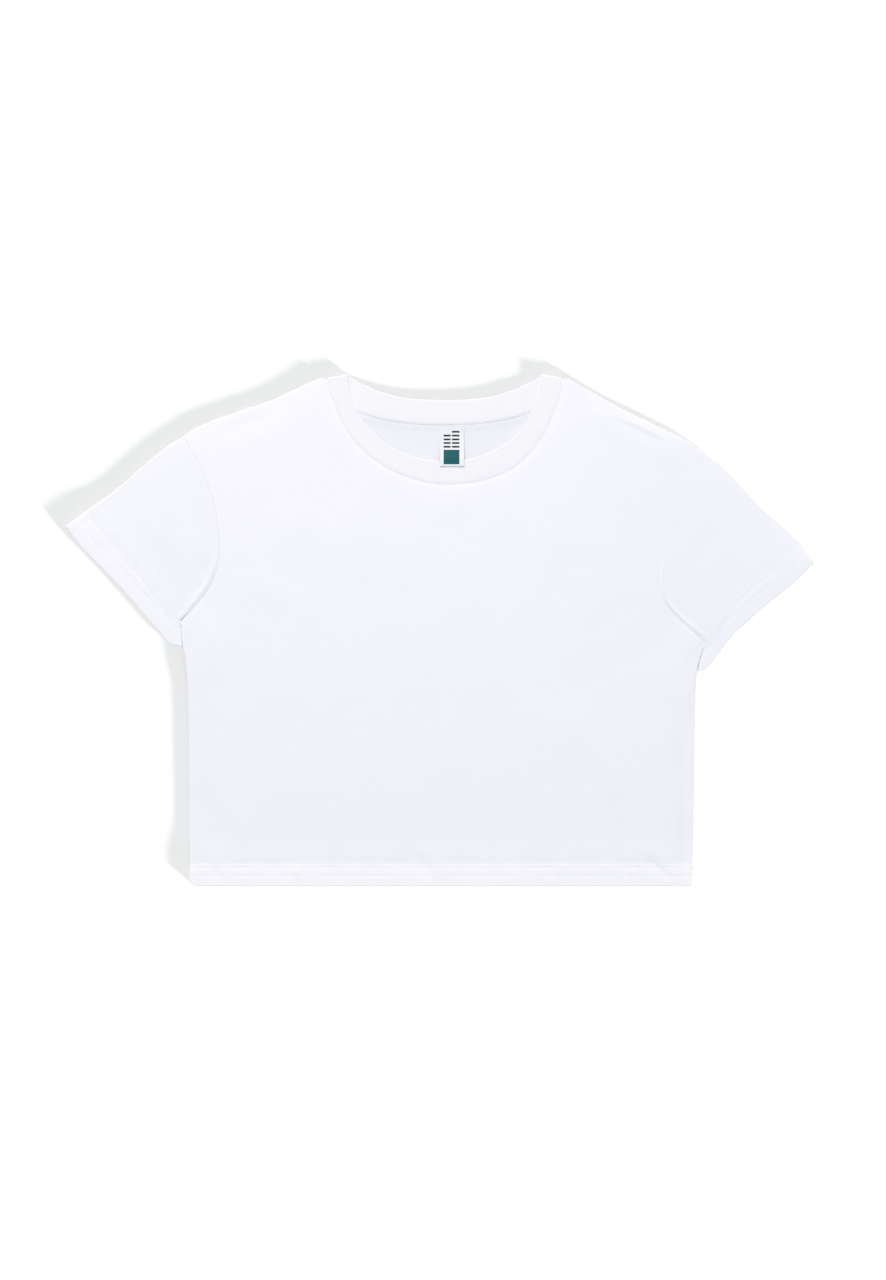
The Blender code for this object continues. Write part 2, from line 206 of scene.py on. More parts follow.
# Creases: a ridge (rise above 0) or a trough between two points, bowed to its left side. Its left
# flank is steeper by the skew, and it fades in and out by these shares of its length. Those of
# the first table are in the solids too.
SKEW = 0.35
FADED_IN = 0.38
FADES_OUT = 0.55
Crease = namedtuple("Crease", "x1 y1 x2 y2 bow half_width rise")
MAIN_FOLDS = (
    Crease(163, 217, 230, 186, 0, 16, 1.6),
    Crease(226, -100, 248, -175, 0, 20, 0.8),
    Crease(130, -95, 165, -160, 0, 20, 0.5),
    Crease(208, -228, 232, -250, 0, 16, 0.6),
)
FRONT_CREASES = (
    # shoulders
    Crease(160, 212, 236, 178, 3, 5, -0.35),
    Crease(238, 184, 164, 219, -2, 4.6, 0.95),
    Crease(-232, 196, -150, 226, -4, 8, -0.30),
    Crease(-214, 180, -118, 216, 5, 14, 0.28),
    Crease(118, 228, 176, 160, -6, 13, 0.25),
    Crease(-129, 226, -152, 168, 7, 10, -0.22),
    # chest
    Crease(-196, 120, -60, 66, 10, 22, 0.30),
    Crease(-150, 70, -20, 30, -8, 17, -0.22),
    Crease(60, 108, 196, 74, -9, 20, 0.28),
    Crease(84, 84, 214, 40, 6, 12, -0.26),
    Crease(-40, 136, 46, 128, -7, 11, 0.18),
    Crease(-212, 60, -120, 6, 7, 15, 0.30),
    Crease(204, 48, 120, -4, -6, 14, 0.26),
    Crease(226, -18, 168, -32, 4, 9, -0.30),
    # waist
    Crease(131, -106, 160, -178, 5, 7, -0.95),
    Crease(150, -102, 178, -176, 6, 12, 0.42),
    Crease(104, -60, 128, -132, -5, 11, 0.24),
    Crease(-92, -84, -70, -206, 8, 16, 0.24),
    Crease(-146, -60, -128, -178, -9, 13, -0.20),
    Crease(18, -52, 46, -196, -10, 18, 0.24),
    Crease(88, -140, 66, -232, 5, 12, -0.22),
    Crease(-180, -30, -208, -128, 6, 18, 0.26),
    # along the side seams
    Crease(252, -202, 237, -98, 2, 7.5, -1.50),
    Crease(252, -258, 241, -174, 2, 7, -1.30),
    Crease(247, -36, 249, -118, 0, 3, 0.50),
    Crease(249, -104, 249, -196, 0, 3, 0.45),
    Crease(222, -130, 228, -222, 3, 9, 0.26),
    Crease(-246, -146, -220, -236, 7, 13, -0.95),
    Crease(-214, -160, -190, -228, 5, 11, 0.48),
    Crease(-247, -30, -243, -110, -2, 6, 0.30),
    # into the hem
    Crease(-32, -212, -8, -255, 3, 5, -0.85),
    Crease(-18, -208, 4, -252, 3, 6, 0.46),
    Crease(198, -222, 236, -256, 2, 5, -0.90),
    Crease(-143, -232, -139, -253, 0, 3.5, 0.75),
    Crease(-168, -228, -165, -246, 0, 4, -0.55),
    Crease(123, -228, 122, -249, 0, 3.5, 0.70),
    Crease(172, -228, 171, -247, 0, 3.5, 0.62),
    Crease(-228, -236, -214, -253, 1, 4, -0.50),
    # sleeves
    Crease(-236, 74, -229, 44, -3, 6, -0.55),
    Crease(-246, 40, -300, 118, -9, 13, 0.42),
    Crease(-262, 22, -318, 92, -5, 8, -0.34),
    Crease(-250, 96, -292, 160, 6, 11, 0.24),
    Crease(-286, 62, -346, 104, 4, 10, 0.22),
    Crease(246, 30, 312, 96, 8, 13, 0.34),
    Crease(268, 12, 330, 66, 5, 9, -0.30),
    Crease(238, 70, 268, 138, -6, 11, 0.24),
    Crease(300, 28, 352, 84, -4, 10, 0.22),
    Crease(266, -14, 284, 6, 1, 5, 0.34),
)
BACK_CREASES = (
    Crease(-190, 150, 40, 96, 12, 16, 0.42),
    Crease(-60, 190, 150, 128, -10, 12, 0.30),
    Crease(-210, 60, -90, -24, 9, 12, 0.45),
    Crease(60, 60, 214, 8, -8, 13, 0.38),
    Crease(-30, -20, 20, -210, 10, 15, 0.36),
    Crease(120, -70, 168, -214, 7, 11, 0.46),
    Crease(-170, -90, -140, -230, -7, 12, 0.40),
    Crease(226, -60, 238, -214, -4, 8, 0.44),
    Crease(-238, -80, -228, -220, 4, 8, 0.34),
    Crease(-80, -214, -60, -254, 2, 6, 0.30),
    Crease(72, -216, 94, -254, -2, 6, 0.32),
    Crease(-256, 60, -330, 98, -5, 10, 0.40),
    Crease(-270, 128, -318, 60, 6, 9, 0.30),
    Crease(260, 60, 338, 70, 5, 10, 0.38),
    Crease(276, 116, 306, 28, -6, 9, 0.30),
)

# Slow waves of the relaxed cloth: height, wavelength, direction in degrees and phase.
Wave = namedtuple("Wave", "height length direction phase")
WAVES = (
    Wave(0.12, 173, 24, 0.7),
    Wave(0.08, 127, 101, 2.1),
    Wave(0.06, 88, 63, 4.0),
    Wave(0.07, 61, 152, 1.3),
    Wave(0.045, 37, 12, 5.2),
)
# The same for the gathers that two rows of thread pull into a hem, along the hem.
GATHERS = (
    Wave(0.085, 31.0, 0, 0.4),
    Wave(0.075, 13.7, 0, 2.2),
    Wave(0.055, 8.1, 0, 4.4),
)
# And for the lumps of a seam that bunches under the arm, as shares of its ridge.
LUMPS = (
    Wave(0.6, 9.0, 60, 1.1),
    Wave(0.5, 6.2, 115, 3.0),
)


# ---------------------------------------------------------------- curves and distances

def smooth_step(low, high, value):
    """0 below low, 1 above high and a soft S between them."""
    share = np.clip((value - low) / (high - low), 0.0, 1.0)
    return share * share * (3 - 2 * share)


def line_length(points):
    """Length of the straight runs between the points."""
    return float(np.linalg.norm(np.diff(np.array(points, float), axis=0), axis=1).sum())


def unit(vectors):
    """The vectors, each with length 1."""
    return vectors / np.linalg.norm(vectors, axis=-1, keepdims=True)


def along(points, shares):
    """The points at shares of the length of a smooth curve through the given points."""
    points = np.array(points, float)
    runs = np.linalg.norm(np.diff(points, axis=0), axis=1)
    starts = np.concatenate(([0.0], np.cumsum(runs)))
    reach = np.clip(shares, 0.0, 1.0) * starts[-1]
    place = np.clip(np.searchsorted(starts, reach, side="right") - 1, 0, len(runs) - 1)
    run = runs[place]
    run_before = np.where(place > 0, runs[np.maximum(place - 1, 0)], 0.0)
    run_after = np.where(place + 1 < len(runs), runs[np.minimum(place + 1, len(runs) - 1)], 0.0)
    start, end = points[place], points[place + 1]
    before = points[np.maximum(place - 1, 0)]
    after = points[np.minimum(place + 2, len(points) - 1)]
    start_pull = (end - before) * (run / (run + run_before))[..., None]
    end_pull = (after - start) * (run / (run + run_after))[..., None]
    t = ((reach - starts[place]) / run)[..., None]
    return (start * (2 * t ** 3 - 3 * t ** 2 + 1) + start_pull * (t ** 3 - 2 * t ** 2 + t)
            + end * (3 * t ** 2 - 2 * t ** 3) + end_pull * (t ** 3 - t ** 2))


def sampled(points, steps=8):
    """A smooth curve as short straight runs."""
    return along(points, np.linspace(0, 1, steps * (len(points) - 1) + 1))


def distance(places, line):
    """How far places are from a line of straight runs."""
    least = np.full(places.shape[:-1], np.inf)
    for start, end in zip(line, line[1:]):
        run = end - start
        share = np.clip(((places - start) @ run) / (run @ run), 0.0, 1.0)
        offset = places - start - share[..., None] * run
        least = np.minimum(least, np.hypot(offset[..., 0], offset[..., 1]))
    return least


def neck_point(line, turns):
    """Points of a neck line; turns go 0 to 1 from the wearer's right shoulder to the left."""
    angle = np.pi * (1 - np.asarray(turns, float))
    across = np.abs(np.cos(angle)) ** (2 / line.across_power)
    drop = np.abs(np.sin(angle)) ** (2 / line.drop_power)
    x = NECK_CENTRE + np.sign(np.cos(angle)) * line.half_width * across
    y = line.top - line.depth * drop
    for turn, reach, rise in line.swells:
        swell = rise * np.exp(-((turns - turn) / reach) ** 2)
        x, y = x + swell * np.cos(angle), y - swell * np.sin(angle)
    return np.stack((x, y), axis=-1)


def spaced(count, crowding):
    """Shares from 0 to 1, closer together near both ends as crowding nears 1."""
    t = np.linspace(0, 1, count + 1)
    return t - crowding * np.sin(2 * np.pi * t) / (2 * np.pi)


# ---------------------------------------------------------------- the cloth's heights

HEM_LINE = np.array((RIGHT.side_seam[-1], LEFT.side_seam[-1]), float)
CUFF_LINES = [sampled(side.cuff) for side in SIDES]
NECK_LINE = neck_point(FRONT_SEAM, np.linspace(0, 1, 41))
SEWN_LINES = [sampled(line) for side in SIDES for line in (side.side_seam, side.shoulder)]
OUTLINE = [NECK_LINE, HEM_LINE, *CUFF_LINES, *SEWN_LINES, *(sampled(s.fold) for s in SIDES)]


def crease_height(places, crease):
    """One soft ridge or trough."""
    start = np.array((crease.x1, crease.y1), float)
    run = np.array((crease.x2, crease.y2), float) - start
    length = np.hypot(*run)
    ahead, left = run / length, np.array((-run[1], run[0])) / length
    share = ((places - start) @ ahead) / length
    off = (places - start) @ left - crease.bow * 4 * share * (1 - share)
    flank = crease.half_width * np.where(off > 0, 1 - SKEW, 1 + SKEW)
    fade = smooth_step(0, FADED_IN, share) * (1 - smooth_step(FADES_OUT, 1, share))
    return crease.rise * fade * np.exp(-(off / flank) ** 2)


def creased(places, creases):
    """The sum of a table of creases."""
    return sum(crease_height(places, crease) for crease in creases)


def waves(places, table):
    """The sum of a table of slow waves."""
    total = np.zeros(places.shape[:-1])
    for wave in table:
        angle = math.radians(wave.direction)
        reach = places @ np.array((math.cos(angle), math.sin(angle)))
        total += wave.height * np.sin(2 * np.pi * reach / wave.length + wave.phase)
    return total


def nearest(places, lines):
    """How far places are from the nearest of some lines."""
    return np.min([distance(places, line) for line in lines], axis=0)


def solid_height(places):
    """Height of the top layer's upper face as the solids have it."""
    inland = nearest(places, OUTLINE)
    hem = distance(places, HEM_LINE) - HEM_DEPTH
    cuff = nearest(places, CUFF_LINES) - CUFF_DEPTH
    turned_up = 1 - smooth_step(0, HEM_REACH, np.minimum(hem, cuff))
    neck = np.exp(-(distance(places, NECK_LINE) / NECK_REACH) ** 2)
    lofted = 1 - np.exp(-inland / LOFT_REACH)
    height = EDGE_HEIGHT + (HEM_HEIGHT - EDGE_HEIGHT) * turned_up
    height += NECK_RISE * neck * (1 - turned_up) + LOFT * lofted
    for fold in MAIN_FOLDS:
        line = np.array(((fold.x1, fold.y1), (fold.x2, fold.y2)), float)
        height += fold.rise * lofted * np.exp(-(distance(places, line) / fold.half_width) ** 2)
    return height


def turned_up_relief(rise, reach, stitch_rows, depth):
    """A hem's face: a channel under each stitch row, gathers between, a ledge at its top.

    rise is the distance up from the folded edge and reach the distance along the hem.
    """
    relief = np.zeros(rise.shape)
    for row in stitch_rows:
        # The thread's pull comes and goes along the row.
        drawn = 1 + 0.7 * np.sin(reach / 23 + row) * np.sin(reach / 9.7 + 2 * row)
        relief -= CHANNEL * drawn * np.exp(-((rise - row) / CHANNEL_HALF_WIDTH) ** 2)
    middle = sum(stitch_rows) / 2
    pull = np.exp(-((rise - middle) / GATHER_REACH) ** 2)
    along_hem = np.stack((reach, 0.35 * rise), axis=-1)
    relief += waves(along_hem, GATHERS) * pull
    past_hem = smooth_step(depth - 1.4, depth + 2.6, rise)
    relief -= LEDGE * past_hem * np.exp(-np.maximum(rise - depth, 0) / LEDGE_FADE)
    return relief


def hem_relief(places):
    """The relief of the body's hem and of both cuffs, each faded out away from itself."""
    relief = turned_up_relief(distance(places, HEM_LINE), places[..., 0], HEM_STITCH_ROWS,
                              HEM_DEPTH)
    # The body's hem fades out above y -150, and a cuff's relief 60 mm from its edge.
    relief *= smooth_step(-150, -200, places[..., 1])
    for side, line in zip(SIDES, CUFF_LINES):
        ahead = unit(np.array(side.cuff[-1], float) - np.array(side.cuff[0], float))
        cuff = turned_up_relief(distance(places, line), places @ ahead, CUFF_STITCH_ROWS,
                                CUFF_DEPTH)
        relief += CUFF_SHARE * cuff * smooth_step(60, 30, distance(places, line))
    return relief


def armhole_relief(places, armholes, on_sleeve):
    """The armhole seam: a groove, and on the sleeve the ridge of the allowance under it.

    It is soft over the shoulder and deep under the arm, where the cloth bunches.
    """
    relief = np.zeros(places.shape[:-1])
    for side, armhole in zip(SIDES, armholes):
        gap = distance(places, sampled(armhole, 16))
        top, low = side.front_armhole[0][1], side.front_armhole[-1][1]
        share = (top - places[..., 1]) / (top - low)
        under_arm = smooth_step(*UNDER_ARM, share) * (1 - EASED * smooth_step(*EASES, share))

        def height(over_shoulder, gain):
            return over_shoulder * side.seam_shows + gain * under_arm
        relief -= height(*ARMHOLE_GROOVE) * np.exp(-(gap / (1.0 + 0.4 * under_arm)) ** 2)
        if on_sleeve:
            bunched = 1 + 0.30 * waves(places, LUMPS) * under_arm
            middle, half_width = (3 + (value - 3) * under_arm for value in side.ridge)
            ridge = height(*ARMHOLE_RIDGE) * bunched
            relief += ridge * np.exp(-((gap - middle) / half_width) ** 2)
        else:
            relief -= height(*ARMHOLE_DIP) * np.exp(-(gap / 6.0) ** 2)
    return relief


def neck_relief(places):
    """The neck seam's soft groove: its allowance is pressed to the body."""
    return -NECK_GROOVE * np.exp(-(distance(places, NECK_LINE) / NECK_GROOVE_HALF_WIDTH) ** 2)


def upper_face(places, on_sleeve):
    """Height of the garment's upper face. Creases flatten where a seam or an edge holds them."""
    free = 1 - np.exp(-nearest(places, OUTLINE) / FRONT_HOLD)
    height = solid_height(places)
    height += creased(places, FRONT_CREASES) * (HELD_SHARE + (1 - HELD_SHARE) * free)
    height += waves(places, WAVES) * free + hem_relief(places)
    height += armhole_relief(places, FRONT_ARMHOLES, on_sleeve)
    return height if on_sleeve else height + neck_relief(places)


def lower_face(places, on_sleeve):
    """Height of the underside: flat where it rests, lifted in creases, seams and stitch rows."""
    free = 1 - np.exp(-nearest(places, OUTLINE) / BACK_HOLD)
    lift = creased(places, BACK_CREASES) * free
    lift -= UNDER_SEAM * armhole_relief(places, BACK_ARMHOLES, on_sleeve)
    return np.maximum(lift, 0) + np.maximum(-UNDER_HEM * hem_relief(places), 0)


def rounded(gap, radius):
    """How far a rounded edge falls from its face, as a share of its radius.

    It stops just short of the whole, so that an edge keeps some thickness.
    """
    flat = 1 - np.clip(gap / radius, 0.0, 1.0)
    return 1 - np.sqrt(np.maximum(1 - flat * flat, 0.03))


def cloth_insets(rise, depth):
    """Insets of a cloth's two faces from its outer face: one layer, or two and a folded edge."""
    layers = 1 - smooth_step(depth, depth + HEM_STEP, rise)
    thickness = JERSEY + (HEM_CLOTH - JERSEY) * layers
    fold = rounded(rise, HEM_CLOTH / 2) * HEM_CLOTH / 2
    return fold, thickness - fold, layers


def turned_up_rows(depth):
    """Distances up from a folded edge: close over its round edge, even over its stitch rows."""
    edge = (0.0, 0.06, 0.18, 0.36, 0.62, 1.0, 1.5, 2.2, 3.0)
    first, last, step = 3.7, depth + 2.0, 0.62
    return np.concatenate((edge, np.linspace(first, last, round((last - first) / step))))


# ---------------------------------------------------------------- cloth from a grid

# How much whiter a second layer under the front makes it, and a cuff's turned-up layer the
# sleeve, as shares of what the body's turned-up hem does. Over the wearer's left chest the front
# is less white by a share of the way to the left sleeve's: painted shade, for the side farther
# from the key lamp.
OVER_BACK = 0.8
CUFF_WHITER = 0.4
CHEST_SHADE_TO_SLEEVE = 0.85
SHARP_EDGE = math.radians(60)


def finished(name, shape):
    """A piece in its place from a bmesh."""
    mesh = bpy.data.meshes.new(name)
    shape.to_mesh(mesh)
    shape.free()
    piece = bpy.data.objects.new(name, mesh)
    bpy.context.scene.collection.objects.link(piece)
    return piece


def cloth(name, outer, inner, grain, layers, closed=False):
    """A cloth wall between the places of its two faces, all indexed by column and row.

    grain gives each corner's place along the knit, kept as the UV map, and layers how far the
    cloth is whitened by another layer there, less on the sleeves and the wearer's left chest as
    painted shade.
    """
    columns, rows = outer.shape[0] - 1, outer.shape[1] - 1
    sheet = bmesh.new()
    bmesh.ops.create_grid(sheet, x_segments=columns, y_segments=rows, size=0.5)
    column_of = sheet.verts.layers.int.new("column")
    row_of = sheet.verts.layers.int.new("row")
    for corner in sheet.verts:
        column = round((corner.co.x + 0.5) * columns)
        row = round((corner.co.y + 0.5) * rows)
        corner[column_of] = column
        corner[row_of] = row
        corner.co = outer[column, row] * MM
    if closed:
        bmesh.ops.remove_doubles(sheet, verts=sheet.verts, dist=0.001 * MM)
    made = bmesh.ops.extrude_face_region(sheet, geom=sheet.faces[:], use_keep_orig=True)
    for corner in made["geom"]:
        if isinstance(corner, bmesh.types.BMVert):
            corner.co = inner[corner[column_of], corner[row_of]] * MM
    bmesh.ops.recalc_face_normals(sheet, faces=sheet.faces[:])
    piece = finished(name, sheet)

    mesh = piece.data
    corners = np.empty((2, len(mesh.vertices)), np.int32)
    for counted, numbers in zip(("column", "row"), corners):
        mesh.attributes[counted].data.foreach_get("value", numbers)
        mesh.attributes.remove(mesh.attributes[counted])
    column, row = corners
    whitened = mesh.attributes.new("layers", "FLOAT", "POINT")
    whitened.data.foreach_set("value", layers[column, row].astype(np.float32))
    at_loop = np.empty(len(mesh.loops), np.int32)
    mesh.loops.foreach_get("vertex_index", at_loop)
    places = grain[column, row][at_loop] * MM
    mesh.uv_layers.new(name="grain").data.foreach_set("uv", places.astype(np.float32).ravel())
    mesh.shade_smooth()
    mesh.set_sharp_from_angle(angle=SHARP_EDGE)
    return piece


def stacked(places, heights):
    """Plan places with their heights."""
    return np.concatenate((places, np.asarray(heights)[..., None]), axis=-1)


# ---------------------------------------------------------------- front and back panels

# A panel's grid: its columns, its rows between hem and armhole, its rows beside the armhole and
# the share of its columns that end at each shoulder. Columns and rows crowd towards the edges.
COLUMN_CROWDING = 0.72
ROW_CROWDING = 0.3
Panel = namedtuple("Panel", "armholes neck_seam neck_edge columns side_rows armhole_rows"
                   " shoulder_share")
FRONT = Panel(FRONT_ARMHOLES, FRONT_SEAM, FRONT_EDGE, 236, 46, 76, 7 / 32)
BACK = Panel(BACK_ARMHOLES, BACK_SEAM, BACK_EDGE, 190, 40, 60, 7 / 28)


def neck_cut(panel, turns):
    """The panel's cut edge at the neck, a gap outside the band's seam line."""
    seam = neck_point(panel.neck_seam, turns)
    return seam + unit(seam - neck_point(panel.neck_edge, turns)) * SEAM_GAP


def top_cut(panel, across):
    """The panel's upper outline: right shoulder, neck, left shoulder."""
    share = panel.shoulder_share
    right = along((*RIGHT.shoulder, neck_cut(panel, 0)), across / share)
    left = along((*LEFT.shoulder, neck_cut(panel, 1)), (1 - across) / share)
    neck = neck_cut(panel, np.clip((across - share) / (1 - 2 * share), 0, 1))
    across = across[:, None]
    return np.where(across < share, right, np.where(across > 1 - share, left, neck))


def panel_places(panel):
    """A panel's grid seen from above, and each row's distance up from the hem's edge."""
    across = spaced(panel.columns, COLUMN_CROWDING)
    hem = turned_up_rows(HEM_DEPTH)
    lengths = [line_length(side.side_seam) for side in SIDES]
    start = hem[-1] / np.array(lengths)
    body = spaced(panel.side_rows, ROW_CROWDING)[1:]
    edges = []
    for side, length, first in zip(SIDES, lengths, start):
        shares = np.concatenate((hem / length, first + (1 - first) * body))
        edges.append(along(side.side_seam, 1 - shares))
    weight = across[:, None, None]
    lower = edges[0][None] * (1 - weight) + edges[1][None] * weight
    for side, radius in zip(SIDES, HEM_CORNERS):
        inside = np.clip(np.abs(lower[..., 0] - side.side_seam[-1][0]) / radius, 0, 1)
        turned = radius * (1 - np.sqrt(1 - (1 - inside) ** 2))
        hem_y = side.side_seam[-1][1]
        lower[..., 1] += turned * smooth_step(hem_y + HEM_DEPTH, hem_y, lower[..., 1])

    # Rows are close where the armhole turns to the shoulder, and its curve bends them with it.
    t = np.linspace(0, 1, panel.armhole_rows + 1)[1:]
    raised = t + 0.24 * np.sin(np.pi * t)
    pull = (raised ** 1.5)[None, :, None]
    upper = lower[:, -1:] * (1 - pull) + top_cut(panel, across)[:, None] * pull
    for armhole, share in zip(panel.armholes, (1 - weight, weight)):
        straight = np.array(armhole[-1]) * (1 - pull) + np.array(armhole[0]) * pull
        upper += (along(armhole, 1 - raised)[None] - straight) * share
    places = np.concatenate((lower, upper), axis=1)
    # Above the hem a row only has to be well clear of it.
    clear = np.full(panel.side_rows + panel.armhole_rows, 4 * HEM_DEPTH)
    rise = np.concatenate((hem, clear))
    return places, np.broadcast_to(rise, places.shape[:2])


def make_front():
    """The front: its upper face carries the creases, and its edges round down to the seams."""
    places, rise = panel_places(FRONT)
    outer_inset, inner_inset, layers = cloth_insets(rise, HEM_DEPTH)
    at_seam = rounded(nearest(places, SEWN_LINES), SEAM_ROUNDING)
    height = upper_face(places, False) - FRONT_ROUNDING * at_seam
    # Painted shade: the front is a shade less white over the wearer's left chest, towards the left
    # sleeve.
    left_chest_shade = smooth_step(70, 235, places[..., 0]) * smooth_step(-70, 60, places[..., 1])
    backing = OVER_BACK - (OVER_BACK - LEFT.backing) * CHEST_SHADE_TO_SLEEVE * left_chest_shade
    return cloth("front_jersey", stacked(places, height - outer_inset),
                 stacked(places, height - inner_inset), places, backing + layers)


def make_back():
    """The back: flat on the floor, its edges rounding up to the front's at the seams."""
    places, rise = panel_places(BACK)
    outer_inset, inner_inset, layers = cloth_insets(rise, HEM_DEPTH)
    at_seam = rounded(nearest(places, SEWN_LINES), SEAM_ROUNDING)
    lift = lower_face(places, False) + BACK_ROUNDING * at_seam
    # Inside, the back rises towards the neck seam and turns down right at it.
    neck = distance(places, neck_point(BACK_SEAM, np.linspace(0, 1, 61)))
    dip = 0.10 * np.exp(-(neck / 1.2) ** 2) - 0.55 * np.exp(-(neck / 6) ** 2)
    soft = np.maximum(waves(places, WAVES), -0.1) * (1 - np.exp(-neck / 12)) * 0.5
    inside = lift + inner_inset - dip + np.where(layers > 0, 0, np.maximum(soft, 0))
    return cloth("back_jersey", stacked(places, lift + outer_inset),
                 stacked(places, inside), places, layers)


# ---------------------------------------------------------------- sleeves

# A sleeve's grid: rows from the armhole to its hem, columns over its upper and lower walls, and
# steps round each fold. Its direction at the fold is taken over this share of the armhole, and
# its walls bend in to the folds as this power of the share across.
SLEEVE_ROWS = 64
SLEEVE_UPPER = 74
SLEEVE_LOWER = 56
SLEEVE_FOLD = 8
SLEEVE_CROWDING = 0.7
SLEEVE_ROW_CROWDING = 0.6
FOLD_CHORD = 1 / 9
BEND_POWER = 24


def sleeve_wall(side, armhole, shares):
    """A sleeve wall seen from above, by share from fold to underarm and row from the armhole."""
    step = np.array((side.sign * ARMHOLE_GAP * side.seam_shows, 0.0))
    head = along(armhole, shares) + step
    cuff = along(side.cuff, shares)
    underarm = np.array(side.side_seam[0], float) + step
    fold_length = line_length(side.fold)
    fold_hem = along(side.fold, np.array([1 - CUFF_DEPTH / fold_length]))[0]
    up_fold = unit(fold_hem - np.array(side.fold[-1], float))
    up_underarm = unit(underarm - np.array(side.cuff[-1], float))
    lean = shares[:, None]
    up = unit(up_fold * (1 - lean) + up_underarm * lean)

    hem_rise = turned_up_rows(CUFF_DEPTH)[::-1]
    hem_rise = hem_rise[hem_rise <= CUFF_DEPTH + HEM_STEP]
    hem = cuff[:, None] + up[:, None] * CUFF_DEPTH
    reach = spaced(SLEEVE_ROWS, SLEEVE_ROW_CROWDING)[None, :, None]
    fold_start = np.array(side.fold[0], float)
    bow = along(side.fold, reach[0, :, 0] * (1 - CUFF_DEPTH / fold_length))
    bow = bow - (fold_start * (1 - reach[0]) + fold_hem * reach[0])
    main = head[:, None] * (1 - reach) + hem * reach + bow[None] * (1 - lean[:, None])
    turned = cuff[:, None] + up[:, None] * hem_rise[None, :, None]
    inside = hem_rise < CUFF_DEPTH
    rise = np.concatenate((np.full(SLEEVE_ROWS, 4 * CUFF_DEPTH), [CUFF_DEPTH],
                           hem_rise[inside]))
    return np.concatenate((main, turned[:, inside]), axis=1), rise


def fold_directions(side, front, back, upper_shares, lower_shares):
    """Which way a sleeve faces at its upper fold, row by row, and at its underarm seam."""
    chord = int(np.searchsorted(upper_shares, FOLD_CHORD))
    back_chord = len(lower_shares) - 1 - int(np.searchsorted(lower_shares[::-1], FOLD_CHORD))
    faces = (unit(front[0] - front[chord]), unit(back[-1] - back[back_chord]))
    run = np.array(side.cuff[-1], float) - np.array(side.side_seam[0], float)
    at_underarm = np.array((-side.sign, side.sign * run[0] / run[1]))
    return unit(faces[0] + faces[1]), unit(at_underarm)


def make_sleeve(name, side, angle):
    """A flattened tube, folded along its top, with a doubled cuff and its knit at an angle."""
    upper_shares = spaced(SLEEVE_UPPER, SLEEVE_CROWDING)
    lower_shares = spaced(SLEEVE_LOWER, SLEEVE_CROWDING)[::-1]
    front, rise = sleeve_wall(side, side.front_armhole, upper_shares)
    back, rise = sleeve_wall(side, side.back_armhole, lower_shares)
    at_fold, at_underarm = fold_directions(side, front, back, upper_shares, lower_shares)

    # The folds' top points lie a fold's radius inside the outline, and the walls start there.
    radius = np.full(len(rise), EDGE_HEIGHT / 2)
    radius += (HEM_HEIGHT - EDGE_HEIGHT) / 2 * (1 - smooth_step(0, HEM_REACH, rise - CUFF_DEPTH))
    away = (radius[:, None] * at_fold, radius[:, None] * at_underarm)
    walls = []
    for wall, shares in ((front, upper_shares), (back, lower_shares)):
        lean = shares[:, None, None]
        walls.append(wall - away[0] * (1 - lean) ** BEND_POWER - away[1] * lean ** BEND_POWER)
    front, back = walls
    top = upper_face(front, True)
    bottom = lower_face(back, True)
    outer_inset, inner_inset, layers = cloth_insets(rise, CUFF_DEPTH)
    turns = np.pi * np.arange(1, SLEEVE_FOLD) / SLEEVE_FOLD

    def face(inset):
        def bend(centre, low, high, outward, angles):
            half = (high - low) / 2
            reach = (half - inset)[None] * np.sin(angles)[:, None]
            height = (low + half)[None] + (half - inset)[None] * np.cos(angles)[:, None]
            return stacked(centre[None] + reach[..., None] * outward, height)
        ring = (
            stacked(front, top - inset),
            bend(front[-1], bottom[0], top[-1], at_underarm, turns),
            stacked(back, bottom + inset),
            bend(front[0], bottom[-1], top[0], at_fold[None], turns[::-1]),
            stacked(front[:1], top[:1] - inset),
        )
        return np.concatenate(ring)
    outer = face(outer_inset)
    inner = face(inner_inset)
    turn = math.radians(angle)
    across = np.array((math.cos(turn), math.sin(turn)))
    grain = np.stack((outer[..., :2] @ across, outer[..., :2] @ (-across[1], across[0])), -1)
    # The sleeve's whitening by its second layer is lowered here as painted shade.
    layers = np.broadcast_to(side.backing + CUFF_WHITER * layers, outer.shape[:2])
    return cloth(name, outer, inner, grain, layers, closed=True)


# ---------------------------------------------------------------- neckband

# Columns to a rib, and steps round the fold at a shoulder.
STEPS_PER_RIB = 5.4
BAND_FOLD = 14
FOLD_RADIUS = (FOLDED_BAND_MID - BACK_BAND_MID) / 2


def band_turns(seam_line, edge_line, step):
    """Turns at even steps along the middle of the band, and the distance along to each."""
    fine = np.linspace(0, 1, 801)
    middle = (neck_point(seam_line, fine) + neck_point(edge_line, fine)) / 2
    runs = np.hypot(*np.diff(middle, axis=0).T)
    reach = np.concatenate(([0.0], np.cumsum(runs)))
    count = round(reach[-1] / step)
    return np.interp(np.linspace(0, reach[-1], count + 1), reach, fine), reach[-1]


def band_rows():
    """The folded rib's section: shares of its width, and how far it has bent round its edge."""
    flat = 1 - spaced(9, 0.5)
    top = [(share, 0.0) for share in flat]
    bend = [(0.0, np.pi * step / 6) for step in range(1, 6)]
    under = [(share, np.pi) for share in flat[::-1]]
    return np.array(top + bend + under)


